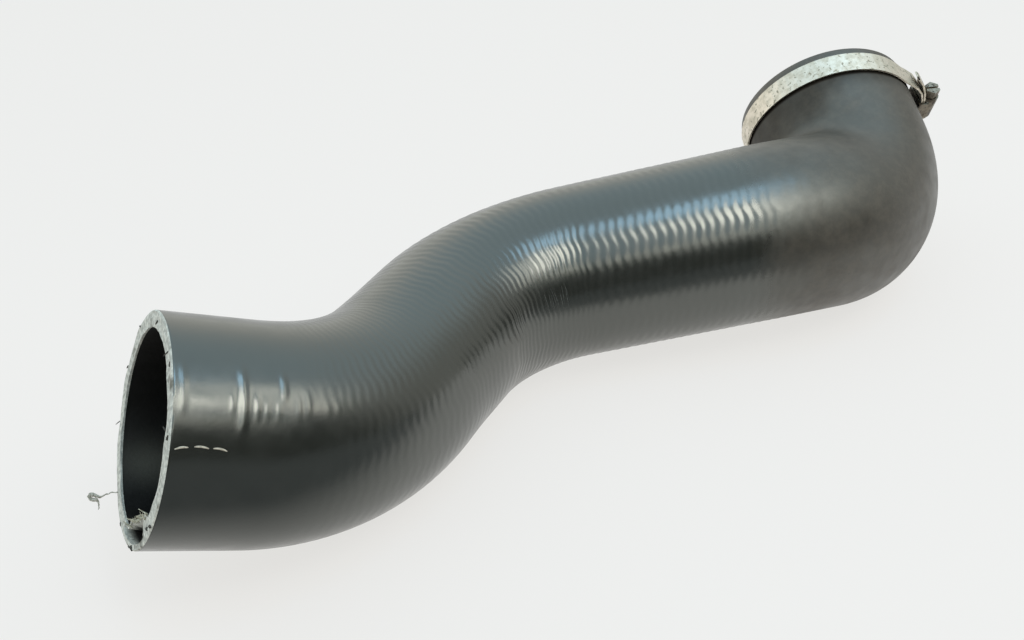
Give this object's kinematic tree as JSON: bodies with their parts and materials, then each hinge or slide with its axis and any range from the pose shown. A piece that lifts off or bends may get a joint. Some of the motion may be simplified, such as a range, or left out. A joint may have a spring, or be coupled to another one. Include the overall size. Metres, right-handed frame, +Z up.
{
  "type": "charge air hose",
  "caption": "Moulded rubber charge air hose with an S bend, a wide cuff, a tight end elbow and a steel worm-drive clamp on the elbow's cuff.",
  "frame": {"origin": "centre of the footprint, on the surface that the hose lies on", "axes": "+Z up from the surface, +X along the hose's greatest length, from the wide near cuff towards the elbow; the elbow's mouth faces +Y and up"},
  "size_m": [0.387, 0.1094, 0.0918],
  "materials": {
    "hose_rubber": "satin, used, with fabric relief",
    "band_zinc": "dull zinc plate, spotted",
    "housing_steel": "dark, tarnished",
    "screw_steel": "dark, tarnished"
  },
  "bodies": {
    "hose_body": {"hose": "hose_rubber", "clamp_band": "band_zinc", "clamp_housing": "housing_steel"},
    "screw": {"clamp_screw": "screw_steel"}
  },
  "joints": [
    {"name": "screw_turn", "type": "hinge", "parent": "hose_body", "child": "screw", "pos_m": [0.18848, 0.00338, 0.0603], "axis": [-0.193, -0.4269, 0.8835], "continuous": true}
  ]
}
